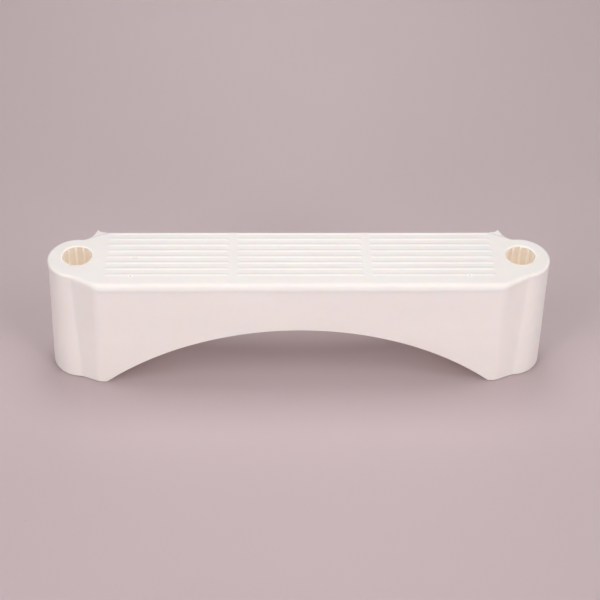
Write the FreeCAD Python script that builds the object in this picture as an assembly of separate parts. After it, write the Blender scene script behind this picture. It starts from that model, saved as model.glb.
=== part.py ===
import FreeCAD, Part
import math
import os

# Ribbed bench segment with a vertical post socket at each end. Millimetres, +Z up.
# Origin: on the floor, midway between the two ends and midway between front and rear.
# X runs along the bench, the front apron faces -Y, and the floor is z = 0.

V = FreeCAD.Vector

# Driving dimensions
DECK_Z = 134.7            # flat deck surface above the floor
SOCKET_X = 221.5          # socket axis, either side of the middle
SOCKET_Y = 3.0
POST_BORE_R = 14.7        # takes a 28.6 mm tube with clearance
FRONT_TOP_Y = -44.0       # front apron at the deck; it leans in towards the floor
FRONT_FLOOR_Y = -40.1
REAR_Y = 39.3
LUG_TIP_Y = 44.0
PAD_PROUD = 0.8           # rubber pads stand this far below the feet
ARCH_R = 303.0
ARCH_CENTRE_Z = -229.2
WALL = 3.5
BEYOND = 300.0            # cutting blocks reach this far past every face
OVERLAP = 1.0             # cutters and fused pieces run this far past their neighbour

# Deck panel
PLATE = 4.0
SKIRT_DEPTH = 8.0
SKIRT_WALL = 2.8
SEAM_GAP = 0.25
SEAM_STEP = 0.4           # skirt stands proud of the body wall
LIP_DEPTH = 4.0           # locating lip below the skirt
LIP_WALL = 1.5
LIP_CLEARANCE = 0.25
LIP_ROOT = 0.5            # lip and posts are rooted this deep in the plate
RIB_COUNT = 8
RIB_PITCH = 9.19
RIB_FIRST_Y = -26.5
RIB_WIDTH = 4.6
RIB_HEIGHT = 0.9
RIB_ROOT = 0.3
RIB_GROUP_END_X = 192.0
RIB_GAP_X = 66.6
RIB_GAP_WIDTH = 7.5
RIM_RADII = {"barrel": 2.4, "flank": 4.2, "front": 6.7, "rear": 0.8, "rear_flank": 0.8}
RIM_LEVELS = (8.0, 6.7, 4.2, 2.4, 1.3, 0.5, 0.1, 0.0)
HOLE_CHAMFER = 0.6
HOLE_EDGE = 1.2           # deck left above each sleeve

# Body shell
FOOT_PLATE = 4.5
FOOT_Z = PAD_PROUD
BODY_TOP_Z = DECK_Z - SKIRT_DEPTH - SEAM_GAP
SOFFIT = 3.0
WEB = 2.0
WEB_PITCH = 44.0
WEB_EACH_SIDE = 4
WEB_TOP_Z = DECK_Z - PLATE - 0.2
LONG_WEB_Y = -2.0
LONG_WEB_X = 204.0
TUBE_BORE_R = 17.6
TUBE_R = 20.6
TUBE_TOP_Z = BODY_TOP_Z - 6.0
WEB_ROOT = 1.5            # webs are rooted this deep in the walls
SLOT_ROOM = 0.4           # webs stop this far below the deck's lip
SPOKE_ANGLES = (75, 125, 180, 235, 300)   # webs from each socket tube to the barrel wall
SPOKE_REACH = 60.0
POST_HOLE_R = 15.2
PANEL = 3.0
PANEL_END_X = 200.0
PANEL_FRONT_Y = REAR_Y - PANEL
BODY_REAR_Y = PANEL_FRONT_Y - 0.1
OPEN_BACK_Y = REAR_Y + 8.0   # the body's inner room runs out past its back edge
LUG_START_X = -211.2
LUG_END_X = -194.0
LUG_GAP = 0.25            # between the lugs and the deck's chamfered rear corners

# Socket sleeves
SLEEVE_R = 17.4
SLEEVE_PLAIN_TOP = 45.0
GROOVE_R = 16.1
RIB_TIP_R = 14.8
CRUSH_RIBS = 12
CRUSH_RIB_W = 1.8
SLEEVE_BASE_Z = FOOT_Z + FOOT_PLATE
SLEEVE_TOP_Z = DECK_Z - HOLE_EDGE - 0.2

# Fasteners
WELL_X = (66.0, 154.0)
WELL_Y = (-24.0, 20.0)
WELL_BORE_R = 5.0
WELL_R = 7.0
WELL_BASE_Z = 5.0
SHELF_Z = 97.0
SHELF = 3.0
SHELF_HOLE_R = 2.2
POST_R = 4.5
POST_BASE_Z = SHELF_Z + SHELF + 0.2
PILOT_CLEARANCE = 0.05
PILOT_ROOM = 2.0          # pilot holes are this much deeper than the screws
DECK_SCREW_R = 1.9
DECK_SCREW_LEN = 18.0
DECK_HEAD_R = 3.8
DECK_HEAD_H = 2.6
DECK_HEAD_ROUND = 0.9
SCREW_SINK = 0.5          # shanks start this deep inside their heads
DRIVE_R = 1.6             # half the width of the cross recess
DRIVE_HALF_SLOT = 0.4
DECK_DRIVE_DEPTH = 1.4
PANEL_DRIVE_DEPTH = 1.3
PANEL_SCREWS = [(0.0, 104.0)] + [(s * 88.0, 104.0) for s in (-1, 1)]
PANEL_SCREWS += [(s * 176.0, z) for s in (-1, 1) for z in (104.0, 42.0)]
PANEL_SCREW_R = 1.45
PANEL_SCREW_LEN = 15.0
PANEL_HEAD_R = 3.8
PANEL_HEAD_H = 2.2
PANEL_HOLE_R = 2.0
PANEL_SCREW_BACK_Y = REAR_Y - 0.2
SINK_TIP_R = 1.6          # countersink, from its narrow end to its mouth
SINK_CLEARANCE = 0.3
BOSS_R = 4.5
BOSS_LEN = 20.0

# Foot pads: centre offsets from the left end's socket axis, and sizes
PAD_PLACES = {"front": (11.0, -31.5), "rear": (14.0, 18.5), "outer": (-23.0, 0.0)}
PAD_R = 6.0
PAD_THICK = 2.2
PAD_STEM_R = 2.5
PAD_STEM_TOP = 6.9
PAD_TIP = 1.2             # tapered end of the stem
PAD_ROUND = 0.5
PAD_STEM_TAPER = 0.8
PAD_CLEARANCE = 0.15      # round the disc in its recess
PAD_RECESS_EXTRA = 0.1    # recess deeper than the disc
STEM_CLEARANCE = 0.05
STEM_ROOM = 0.4           # hole longer than the stem
FIRST_CRUSH_RIB = 100.5   # azimuth at the left end
CRUSH_RIB_ROOT = 0.5

# Plan outline of one end at the deck and at the floor. The barrel is a circle; the front
# flank is a line at a distance from the barrel's centre, blended into barrel and apron.
TOP = dict(centre_x=-221.65, barrel=29.1, flank=26.85, angle=31.4, blend=12.0,
           corner=15.0, front=FRONT_TOP_Y, rear_blend=10.0)
FLOOR = dict(centre_x=-223.1, barrel=31.6, flank=29.1, angle=24.05, blend=14.0,
             corner=18.0, front=FRONT_FLOOR_Y, rear_blend=6.0)
REAR_FLANK = 22.56        # rear flank line's distance from the deck's barrel centre
REAR_ANGLE = 26.2
REAR_CORNER_R = 3.0


def direction(angle_deg):
    angle = math.radians(angle_deg)
    return V(math.cos(angle), math.sin(angle), 0)


def arc_middle(centre, start, end):
    """Point halfway along the shorter arc from start to end."""
    middle = (start - centre).normalize() + (end - centre).normalize()
    return centre + middle.normalize() * (start - centre).Length


def flank_blend(centre, radius, normal, along, distance, blend):
    """Concave arc that leaves the barrel's circle and meets a flank line."""
    slide = math.sqrt((radius + blend) ** 2 - (distance + blend) ** 2)
    hub = centre + normal * (distance + blend) + along * slide
    on_line = hub - normal * blend
    on_circle = centre + (hub - centre).normalize() * radius
    return on_circle, arc_middle(hub, on_circle, on_line), on_line


def corner_hub(centre, normal, distance, radius, hub_y):
    """Centre of a convex corner arc that touches the flank line from inside."""
    x = centre.x + ((distance - radius) - (hub_y - centre.y) * normal.y) / normal.x
    return V(x, hub_y, 0)


def end_segments(shape, inset, rear_y):
    """Left end's outline, from the rear edge round the barrel to the front edge."""
    centre = V(shape["centre_x"], 0, 0)
    radius = shape["barrel"] - inset["barrel"]
    front_along = direction(-shape["angle"])
    front_normal = direction(-90 - shape["angle"])
    rear_along = direction(REAR_ANGLE)
    rear_normal = direction(90 + REAR_ANGLE)
    side = inset["flank"]
    rear_side = inset["rear_flank"]

    flank = shape["flank"] - side
    blend = flank_blend(centre, radius, front_normal, front_along, flank, shape["blend"] + side)
    corner_r = shape["corner"] - side
    front_y = shape["front"] + inset["front"]
    hub = corner_hub(centre, front_normal, flank, corner_r, front_y + corner_r)
    corner = (hub + front_normal * corner_r, hub + V(0, -corner_r, 0))

    line_point = V(TOP["centre_x"], 0, 0) + rear_normal * REAR_FLANK
    rear_flank = (line_point - centre).dot(rear_normal) - rear_side
    rear_blend = flank_blend(centre, radius, rear_normal, rear_along, rear_flank,
                             shape["rear_blend"] + rear_side)
    rear_edge = rear_y - inset["rear"]
    rear_hub = corner_hub(centre, rear_normal, rear_flank, REAR_CORNER_R,
                          rear_edge - REAR_CORNER_R)
    rear_corner = (rear_hub + V(0, REAR_CORNER_R, 0), rear_hub + rear_normal * REAR_CORNER_R)

    outermost = centre - V(radius, 0, 0)
    return [
        (rear_corner[0], arc_middle(rear_hub, *rear_corner), rear_corner[1]),
        (rear_corner[1], rear_blend[2]),
        (rear_blend[2], rear_blend[1], rear_blend[0]),
        (rear_blend[0], arc_middle(centre, rear_blend[0], outermost), outermost),
        (outermost, arc_middle(centre, outermost, blend[0]), blend[0]),
        blend,
        (blend[2], corner[0]),
        (corner[0], arc_middle(hub, *corner), corner[1]),
    ]


def same_inset(value):
    return dict.fromkeys(RIM_RADII, value)


def outline(shape, inset, z, rear_y=REAR_Y):
    """Closed plan outline at height z."""
    left = end_segments(shape, inset, rear_y)
    right = [tuple(V(-p.x, p.y, 0) for p in reversed(seg)) for seg in reversed(left)]
    loop = left + [(left[-1][-1], right[0][0])] + right + [(right[-1][-1], left[0][0])]
    edges = []
    for seg in loop:
        points = [V(p.x, p.y, z) for p in seg]
        if len(points) == 2:
            edges.append(Part.LineSegment(*points).toShape())
        else:
            edges.append(Part.Arc(*points).toShape())
    return Part.Wire(edges)


def prism(shape, inset, z_low, z_high, rear_y=REAR_Y):
    face = Part.Face(outline(shape, same_inset(inset), z_low, rear_y))
    return face.extrude(V(0, 0, z_high - z_low))


def cylinder(radius, z_low, z_high, x=0.0, y=0.0):
    return Part.makeCylinder(radius, z_high - z_low, V(x, y, z_low))


def box(x0, x1, y0, y1, z0, z1):
    return Part.makeBox(x1 - x0, y1 - y0, z1 - z0, V(x0, y0, z0))


def arch(radius):
    """Solid under the arch curve, running right through front to rear."""
    return Part.makeCylinder(radius, 2 * BEYOND, V(0, -BEYOND, ARCH_CENTRE_Z), V(0, 1, 0))


def sockets(radius, z_low, z_high):
    return [cylinder(radius, z_low, z_high, s * SOCKET_X, SOCKET_Y) for s in (-1, 1)]


def rim_inset(depth):
    """How far the rounded rim stands in at a depth below the deck."""
    inset = {}
    for zone, radius in RIM_RADII.items():
        rest = max(radius - depth, 0.0)
        inset[zone] = radius - math.sqrt(radius ** 2 - rest ** 2)
    return inset


def screw_places():
    return [(s * x, y) for s in (-1, 1) for x in WELL_X for y in WELL_Y]


def save(name, shape):
    shape.exportStep("parts/%s.step" % name)
    print("%-24s solids %d valid %s volume %.0f" % (
        name, len(shape.Solids), shape.isValid(), shape.Volume))


def deck_ribs():
    """Low rounded anti-slip ribs in three groups along the deck."""
    start = RIB_GAP_X + RIB_GAP_WIDTH / 2
    inner = RIB_GAP_X - RIB_GAP_WIDTH / 2
    spans = [(-RIB_GROUP_END_X, -start), (-inner, inner), (start, RIB_GROUP_END_X)]
    half = RIB_WIDTH / 2
    root_z = DECK_Z - RIB_ROOT
    ribs = []
    for row in range(RIB_COUNT):
        y = RIB_FIRST_Y + row * RIB_PITCH
        for x0, x1 in spans:
            crown = Part.Arc(V(x0, y - half, DECK_Z), V(x0, y, DECK_Z + RIB_HEIGHT),
                             V(x0, y + half, DECK_Z)).toShape()
            base = Part.makePolygon([V(x0, y + half, DECK_Z), V(x0, y + half, root_z),
                                     V(x0, y - half, root_z), V(x0, y - half, DECK_Z)])
            profile = Part.Face(Part.Wire([crown] + base.Edges))
            ribs.append(profile.extrude(V(x1 - x0, 0, 0)))
    keep = box(-BEYOND, BEYOND, -BEYOND, REAR_Y - RIM_RADII["rear"], 0, BEYOND)
    return [rib.common(keep) for rib in ribs]


def deck_panel():
    """Ribbed top with a rounded rim, a skirt, a locating lip and eight screw posts."""
    levels = [outline(TOP, rim_inset(depth), DECK_Z - depth) for depth in RIM_LEVELS]
    solid = Part.makeLoft(levels, True, True)
    solid = solid.fuse(deck_ribs()).removeSplitter()
    plate_z = DECK_Z - PLATE
    solid = solid.cut(prism(TOP, SKIRT_WALL, DECK_Z - SKIRT_DEPTH - OVERLAP, plate_z))
    lip_inset = SEAM_STEP + WALL + LIP_CLEARANCE
    lip_low = DECK_Z - SKIRT_DEPTH - LIP_DEPTH
    lip = prism(TOP, lip_inset, lip_low, plate_z + LIP_ROOT)
    lip = lip.cut(prism(TOP, lip_inset + LIP_WALL, lip_low - OVERLAP, DECK_Z))
    posts = [cylinder(POST_R, POST_BASE_Z, plate_z + LIP_ROOT, x, y) for x, y in screw_places()]
    solid = solid.fuse([lip] + posts)
    pilots = [cylinder(DECK_SCREW_R + PILOT_CLEARANCE, POST_BASE_Z - OVERLAP,
                       SHELF_Z + DECK_SCREW_LEN + PILOT_ROOM, x, y) for x, y in screw_places()]
    holes = sockets(POST_BORE_R, lip_low - OVERLAP, DECK_Z + OVERLAP)
    holes += sockets(TUBE_BORE_R, lip_low - OVERLAP, DECK_Z - HOLE_EDGE)
    rims = [Part.makeCone(POST_BORE_R, POST_BORE_R + HOLE_CHAMFER, HOLE_CHAMFER,
                          V(s * SOCKET_X, SOCKET_Y, DECK_Z - HOLE_CHAMFER)) for s in (-1, 1)]
    return solid.cut(pilots + holes + rims)


def web_boxes():
    """Stiffening webs, still as plain boxes: across, lengthwise and round the sockets."""
    low, high = FOOT_Z, WEB_TOP_Z
    webs = [box(i * WEB_PITCH - WEB / 2, i * WEB_PITCH + WEB / 2, -BEYOND, BEYOND, low, high)
            for i in range(-WEB_EACH_SIDE, WEB_EACH_SIDE + 1)]
    webs.append(box(-LONG_WEB_X, LONG_WEB_X, LONG_WEB_Y - WEB / 2, LONG_WEB_Y + WEB / 2,
                    low, high))
    for side in (-1, 1):
        for angle in SPOKE_ANGLES:
            spoke = box(TUBE_R - OVERLAP, SPOKE_REACH, -WEB / 2, WEB / 2, low, TUBE_TOP_Z)
            turn = angle if side < 0 else 180 - angle
            spoke.rotate(V(0, 0, 0), V(0, 0, 1), turn)
            spoke.translate(V(side * SOCKET_X, SOCKET_Y, 0))
            webs.append(spoke)
    return webs


def inner_room(extra):
    """Room inside the walls, grown by extra. It runs out through the open back."""
    low = outline(FLOOR, same_inset(WALL - extra), SLEEVE_BASE_Z - extra, OPEN_BACK_Y)
    high = outline(TOP, same_inset(WALL + SEAM_STEP - extra), BODY_TOP_Z, OPEN_BACK_Y)
    return Part.makeLoft([low, high], True, True)


def body_shell():
    """Hollow arched body, open at the top and at the back."""
    past_y = BODY_REAR_Y + OVERLAP
    outer = Part.makeLoft([outline(FLOOR, same_inset(0.0), FOOT_Z, past_y),
                           outline(TOP, same_inset(SEAM_STEP), BODY_TOP_Z, past_y)], True, True)
    outer = outer.cut(box(-BEYOND, BEYOND, BODY_REAR_Y, BEYOND, -BEYOND, BEYOND))
    cavity = inner_room(0.0).cut(arch(ARCH_R + SOFFIT))
    shell = outer.cut(cavity)

    # Below the lip the webs fill the cavity; beside the lip they stand clear of it.
    slot_z = DECK_Z - SKIRT_DEPTH - LIP_DEPTH - SLOT_ROOM
    clear = SEAM_STEP + WALL + 2 * LIP_CLEARANCE + LIP_WALL
    below = inner_room(WEB_ROOT).cut(arch(ARCH_R + SOFFIT - WEB_ROOT))
    below = below.common(box(-BEYOND, BEYOND, -BEYOND, BODY_REAR_Y, -BEYOND, slot_z))
    beside = prism(TOP, clear, slot_z, WEB_TOP_Z)
    webs = []
    for web in web_boxes():
        webs.append(web.common(below))
        webs.append(web.common(beside))

    tubes = sockets(TUBE_R, SLEEVE_BASE_Z - OVERLAP, TUBE_TOP_Z)
    wells = [cylinder(WELL_R, WELL_BASE_Z, SHELF_Z + SHELF, x, y).cut(arch(ARCH_R + OVERLAP))
             for x, y in screw_places()]
    bosses = [Part.makeCylinder(BOSS_R, BOSS_LEN, V(x, BODY_REAR_Y - BOSS_LEN, z), V(0, 1, 0))
              for x, z in PANEL_SCREWS]
    solid = shell.fuse(webs + tubes + wells + bosses)

    cuts = sockets(POST_HOLE_R, -OVERLAP, SLEEVE_BASE_Z + OVERLAP)
    cuts += sockets(TUBE_BORE_R, SLEEVE_BASE_Z, DECK_Z)
    for x, y in screw_places():
        cuts.append(cylinder(WELL_BORE_R, -OVERLAP, SHELF_Z, x, y))
        cuts.append(cylinder(SHELF_HOLE_R, SHELF_Z - OVERLAP, SHELF_Z + SHELF + OVERLAP, x, y))
    pilot = PANEL_SCREW_LEN + PILOT_ROOM
    cuts += [Part.makeCylinder(PANEL_SCREW_R + PILOT_CLEARANCE, pilot,
                               V(x, BODY_REAR_Y + OVERLAP - pilot, z), V(0, 1, 0))
             for x, z in PANEL_SCREWS]
    stem_top = PAD_STEM_TOP + PAD_TIP + STEM_ROOM
    for x, y, _ in pad_centres():
        cuts.append(cylinder(PAD_R + PAD_CLEARANCE, 0, PAD_THICK + PAD_RECESS_EXTRA, x, y))
        cuts.append(cylinder(PAD_STEM_R + STEM_CLEARANCE, FOOT_Z, stem_top, x, y))
    return solid.cut(cuts).cut(arch(ARCH_R)).removeSplitter()


def lug(side):
    """Pointed corner lug behind the deck's chamfered rear corner."""
    normal = direction(90 + REAR_ANGLE)
    along = direction(REAR_ANGLE)
    foot = V(TOP["centre_x"], 0, 0) + normal * (REAR_FLANK + LUG_GAP)
    inner_low = foot + along * ((LUG_START_X - foot.x) / along.x)
    inner_high = foot + along * ((LUG_END_X - foot.x) / along.x)
    tip = V(-203.4, LUG_TIP_Y, 0)
    shoulder = V(-205.9, 38.2, 0)
    heel = V(-199.4, 40.2, 0)
    toe = V(LUG_END_X, REAR_Y, 0)
    outer = [
        Part.Arc(inner_low, V(-208.1, 33.9, 0), shoulder).toShape(),
        Part.LineSegment(shoulder, tip).toShape(),
        Part.Arc(tip, V(-201.9, 41.8, 0), heel).toShape(),
        Part.LineSegment(heel, toe).toShape(),
        Part.LineSegment(toe, inner_high).toShape(),
        Part.LineSegment(inner_high, inner_low).toShape(),
    ]
    solid = Part.Face(Part.Wire(outer)).extrude(V(0, 0, DECK_Z - FOOT_Z))
    solid.translate(V(0, 0, FOOT_Z))
    if side > 0:
        solid = solid.mirror(V(0, 0, 0), V(1, 0, 0))
    return solid


def rear_panel():
    """Flat back panel with a corner lug at each end, held by seven screws."""
    plate = box(-PANEL_END_X, PANEL_END_X, PANEL_FRONT_Y, REAR_Y, FOOT_Z, BODY_TOP_Z)
    solid = plate.fuse([lug(-1), lug(1)])
    cuts = [arch(ARCH_R)]
    for x, z in PANEL_SCREWS:
        cuts.append(Part.makeCylinder(PANEL_HOLE_R, PANEL + 2 * OVERLAP,
                                      V(x, PANEL_FRONT_Y - OVERLAP, z), V(0, 1, 0)))
        cuts.append(Part.makeCone(SINK_TIP_R, PANEL_HEAD_R + SINK_CLEARANCE,
                                  PANEL_HEAD_H + SINK_CLEARANCE,
                                  V(x, PANEL_SCREW_BACK_Y - PANEL_HEAD_H, z), V(0, 1, 0)))
    return solid.cut(cuts).removeSplitter()


def socket_sleeve(side):
    """Liner tube: plain guide bore below, crush ribs above."""
    x = side * SOCKET_X
    solid = cylinder(SLEEVE_R, SLEEVE_BASE_Z, SLEEVE_TOP_Z, x, SOCKET_Y)
    past_z = SLEEVE_TOP_Z + OVERLAP
    ring = cylinder(GROOVE_R, SLEEVE_PLAIN_TOP, past_z, x, SOCKET_Y)
    ribs = []
    for k in range(CRUSH_RIBS):
        rib = box(RIB_TIP_R - CRUSH_RIB_ROOT, GROOVE_R + OVERLAP, -CRUSH_RIB_W / 2,
                  CRUSH_RIB_W / 2, SLEEVE_PLAIN_TOP - OVERLAP, past_z + OVERLAP)
        turn = FIRST_CRUSH_RIB + k * 360.0 / CRUSH_RIBS
        rib.rotate(V(0, 0, 0), V(0, 0, 1), turn if side < 0 else 180 - turn)
        rib.translate(V(x, SOCKET_Y, 0))
        ribs.append(rib)
    ring = ring.cut(ribs)
    tips = cylinder(RIB_TIP_R, SLEEVE_PLAIN_TOP, past_z, x, SOCKET_Y)
    guide = cylinder(POST_BORE_R, 0, SLEEVE_PLAIN_TOP + OVERLAP, x, SOCKET_Y)
    return solid.cut([ring, tips, guide])


def pad_centres():
    places = []
    for side, word in ((-1, "left"), (1, "right")):
        for place, (dx, dy) in PAD_PLACES.items():
            x = side * (SOCKET_X - dx)
            places.append((x, SOCKET_Y + dy, "%s_%s_foot_pad" % (word, place)))
    return places


def edges_at(solid, z):
    """Edges that lie wholly at height z."""
    near = 0.01
    return [e for e in solid.Edges if abs(e.BoundBox.ZMax - z) < near]


def foot_pad(x, y):
    """Rubber button foot with a push-in stem."""
    disc = cylinder(PAD_R, 0, PAD_THICK, x, y)
    disc = disc.makeFillet(PAD_ROUND, edges_at(disc, 0.0))
    stem = cylinder(PAD_STEM_R, PAD_THICK - PAD_ROUND, PAD_STEM_TOP, x, y)
    tip = Part.makeCone(PAD_STEM_R, PAD_STEM_R - PAD_STEM_TAPER, PAD_TIP, V(x, y, PAD_STEM_TOP))
    return disc.fuse([stem, tip]).removeSplitter()


def deck_screw(x, y):
    """Pan head screw driven up from below the shelf."""
    head_z = SHELF_Z - DECK_HEAD_H
    head = cylinder(DECK_HEAD_R, head_z, SHELF_Z, x, y)
    head = head.makeFillet(DECK_HEAD_ROUND, edges_at(head, head_z))
    shank = cylinder(DECK_SCREW_R, SHELF_Z - SCREW_SINK, SHELF_Z + DECK_SCREW_LEN, x, y)
    low, high = head_z - OVERLAP, head_z + DECK_DRIVE_DEPTH
    cross = [box(x - a, x + a, y - b, y + b, low, high) for a, b in drive_arms()]
    return head.fuse(shank).cut(cross)


def panel_screw(x, z):
    """Countersunk screw driven in from the back."""
    back = PANEL_SCREW_BACK_Y
    head = Part.makeCone(PANEL_SCREW_R, PANEL_HEAD_R, PANEL_HEAD_H,
                         V(x, back - PANEL_HEAD_H, z), V(0, 1, 0))
    shank = Part.makeCylinder(PANEL_SCREW_R, PANEL_SCREW_LEN,
                              V(x, back - PANEL_SCREW_LEN, z), V(0, 1, 0))
    low, high = back - PANEL_DRIVE_DEPTH, back + OVERLAP
    cross = [box(x - a, x + a, low, high, z - b, z + b) for a, b in drive_arms()]
    return head.fuse(shank).cut(cross)


def drive_arms():
    """Half sizes of the two arms of a cross recess."""
    return [(DRIVE_R, DRIVE_HALF_SLOT), (DRIVE_HALF_SLOT, DRIVE_R)]


os.makedirs("parts", exist_ok=True)
save("deck_panel", deck_panel())
save("body_shell", body_shell())
save("rear_panel", rear_panel())
save("left_socket_sleeve", socket_sleeve(-1))
save("right_socket_sleeve", socket_sleeve(1))
for pad_x, pad_y, pad_name in pad_centres():
    save(pad_name, foot_pad(pad_x, pad_y))
save("deck_screws", Part.makeCompound([deck_screw(x, y) for x, y in screw_places()]))
save("rear_panel_screws", Part.makeCompound([panel_screw(x, z) for x, z in PANEL_SCREWS]))
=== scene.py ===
import math

import bmesh
import bpy
import numpy as np
from mathutils import Matrix, Vector
from mathutils.geometry import delaunay_2d_cdt


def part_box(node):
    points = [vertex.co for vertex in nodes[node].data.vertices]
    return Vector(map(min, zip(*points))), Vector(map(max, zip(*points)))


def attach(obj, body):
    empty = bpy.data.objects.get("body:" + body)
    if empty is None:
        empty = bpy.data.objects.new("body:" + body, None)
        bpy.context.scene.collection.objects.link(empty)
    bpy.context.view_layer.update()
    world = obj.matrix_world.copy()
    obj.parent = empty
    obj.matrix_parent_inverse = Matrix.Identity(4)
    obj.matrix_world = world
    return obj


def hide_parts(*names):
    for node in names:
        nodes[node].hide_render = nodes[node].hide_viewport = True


# Looks of the ribbed bench segment. Lengths in the shape code are millimetres in the CAD's frame,
# and Mesh.data() turns them into metres. Materials, lights and camera are in metres.
MM = 0.001

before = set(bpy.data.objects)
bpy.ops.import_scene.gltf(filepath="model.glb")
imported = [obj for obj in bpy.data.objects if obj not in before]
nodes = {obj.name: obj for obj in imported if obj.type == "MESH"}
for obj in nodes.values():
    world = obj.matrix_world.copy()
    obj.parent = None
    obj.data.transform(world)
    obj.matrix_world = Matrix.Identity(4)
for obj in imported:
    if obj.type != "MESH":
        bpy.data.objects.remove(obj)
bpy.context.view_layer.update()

deck_low, deck_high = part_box("deck_panel")
panel_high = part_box("rear_panel")[1]
body_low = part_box("body_shell")[0]
left_low, left_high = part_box("left_socket_sleeve")

# Places taken from the frame
DECK_Z = panel_high.z / MM
REAR_Y = deck_high.y / MM
FRONT_TOP_Y = deck_low.y / MM
FOOT_Z = body_low.z / MM
SOCKET_X = -(left_low.x + left_high.x) / 2 / MM
SOCKET_Y = (left_low.y + left_high.y) / 2 / MM
SLEEVE_R = (left_high.x - left_low.x) / 2 / MM
SLEEVE_BASE_Z = left_low.z / MM
SLEEVE_TOP_Z = left_high.z / MM
LUG_TIP_Y = panel_high.y / MM

# Sizes shared with the CAD
FRONT_FLOOR_Y = -40.1
POST_BORE_R = 14.7
ARCH_R = 303.0
ARCH_CENTRE_Z = -229.2
PLATE = 4.0
SKIRT_DEPTH = 8.0
SKIRT_WALL = 2.8
SEAM_GAP = 0.25
SEAM_STEP = 0.4
BODY_TOP_Z = DECK_Z - SKIRT_DEPTH - SEAM_GAP
PANEL = 3.0
PANEL_FRONT_Y = REAR_Y - PANEL
BODY_REAR_Y = PANEL_FRONT_Y - 0.1
TUBE_BORE_R = 17.6
POST_HOLE_R = 15.2
POST_HOLE_CHAMFER = 0.5
RIB_COUNT = 8
RIB_PITCH = 9.19
RIB_FIRST_Y = -26.5
RIB_WIDTH = 4.6
RIB_GAP_X = 66.6
RIB_GAP_WIDTH = 7.5
WELL_BORE_R = 5.0
WELL_PLACES = [(s * x, y) for s in (-1, 1) for x in (66.0, 154.0) for y in (-24.0, 20.0)]
SHELF_Z = 97.0
PANEL_SCREWS = [(0.0, 104.0), (-88.0, 104.0), (88.0, 104.0)]
PANEL_SCREWS += [(s * 176.0, z) for s in (-1, 1) for z in (104.0, 42.0)]
PANEL_END_X = 200.0
PANEL_HOLE_R = 2.0
COUNTERSINK_R = 4.1
COUNTERSINK_DEPTH = 2.5
LUG_START_X = -211.2
LUG_END_X = -194.0
LUG_GAP = 0.25
LUG_TIP = (-203.4, LUG_TIP_Y)
LUG_SHOULDER = (-205.9, 38.2)
LUG_HEEL = (-199.4, 40.2)
LUG_LOW_BEND = (-207.3, 33.4)
LUG_HIGH_BEND = (-202.0, 40.9)
SLEEVE_PLAIN_TOP = 45.0
GROOVE_R = 16.1
RIB_TIP_R = 14.8
CRUSH_RIBS = 12
FIRST_CRUSH_RIB = 100.5
PAD_R = 6.15
PAD_RECESS_Z = 2.3
PAD_OFFSETS = ((11.0, -31.5), (14.0, 18.5), (-23.0, 0.0))

# Sizes that are softened here for their looks
# Rounded rim of the deck: (inward, downward) half axes for each stretch of the edge
RIM_ROUNDS = {"barrel": (2.4, 2.4), "flank": (3.4, 4.6), "front": (4.7, 7.4), "rear": (0.8, 0.8),
              "rear_flank": (0.8, 0.8)}
RIM_DEPTHS = (0.0, 0.01, 0.04, 0.1, 0.2, 0.36, 0.58, 0.8, 1.15, 1.6, 2.0, 2.4, 3.0, 3.8, 4.6,
              5.3, 6.0, 6.7, 7.4)
SEAM_LIP = 0.3            # rounded lower lip of the deck's skirt
HOLE_RIM = 1.0            # rounded edge of the post holes in the deck
HOLE_EDGE = 2.2           # height of the plain edge above the sleeve
RIB_HEIGHT = 0.55
RIB_GROUP_END_X = 193.3
RIB_SOFT_END = (0.0, 0.5, 1.1, 1.8, 2.6, 3.6)
RIB_STEPS = 12            # across a rib's width
EDGE_R = 1.0              # rounded lower edge of the body and the arch
CRUSH_RIB_W = 2.4
CRUSH_RIB_FLANK = 0.25    # half width of the slope beside a rib
SLEEVE_LIP = 0.4
SLEEVE_RIB_RISE = 1.2     # height in which the ribs grow out of the plain bore
PANEL_ROUND = 0.6
PANEL_INNER_ROUND = 0.3
LUG_ROUND = 0.3

# Points on the round shapes
CIRCLE = 96
SMALL_CIRCLE = 48
WELL_CIRCLE = 40
ARCH_POINTS = 121
PANEL_ARCH_POINTS = 97
EDGE_STEPS = 6
WALL_LEVELS = 10
WELD = 0.0004
SHARP_ANGLE = math.radians(35)
NORMAL_WEIGHT = 80

TOP = dict(centre_x=-221.65, barrel=29.1, flank=26.85, angle=31.4, blend=12.0,
           corner=15.0, front=FRONT_TOP_Y, rear_blend=10.0)
FLOOR = dict(centre_x=-223.1, barrel=31.6, flank=29.1, angle=24.05, blend=14.0,
             corner=18.0, front=FRONT_FLOOR_Y, rear_blend=6.0)
REAR_FLANK = 22.56
REAR_ANGLE = 26.2
REAR_CORNER_R = 3.0
BODY_REAR_CORNER_R = 0.5


# ---------------------------------------------------------------- plan outline
def direction(angle_deg):
    """Unit vector at an angle in the plan."""
    angle = math.radians(angle_deg)
    return np.array((math.cos(angle), math.sin(angle)))


def arc_points(centre, start, end, count):
    """Points along the shorter arc from start to end, both included."""
    a0 = math.atan2(*(start - centre)[::-1])
    turn = math.atan2(*(end - centre)[::-1]) - a0
    turn = (turn + math.pi) % (2 * math.pi) - math.pi
    radius = np.linalg.norm(start - centre)
    angles = a0 + turn * np.linspace(0.0, 1.0, count + 1)
    return [centre + radius * np.array((math.cos(a), math.sin(a))) for a in angles]


def flank_blend(centre, radius, normal, along, distance, blend, count):
    """Concave arc that leaves the barrel's circle and meets a flank line."""
    slide = math.sqrt((radius + blend) ** 2 - (distance + blend) ** 2)
    hub = centre + normal * (distance + blend) + along * slide
    on_line = hub - normal * blend
    out = (hub - centre) / np.linalg.norm(hub - centre)
    return arc_points(hub, centre + out * radius, on_line, count)


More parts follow.
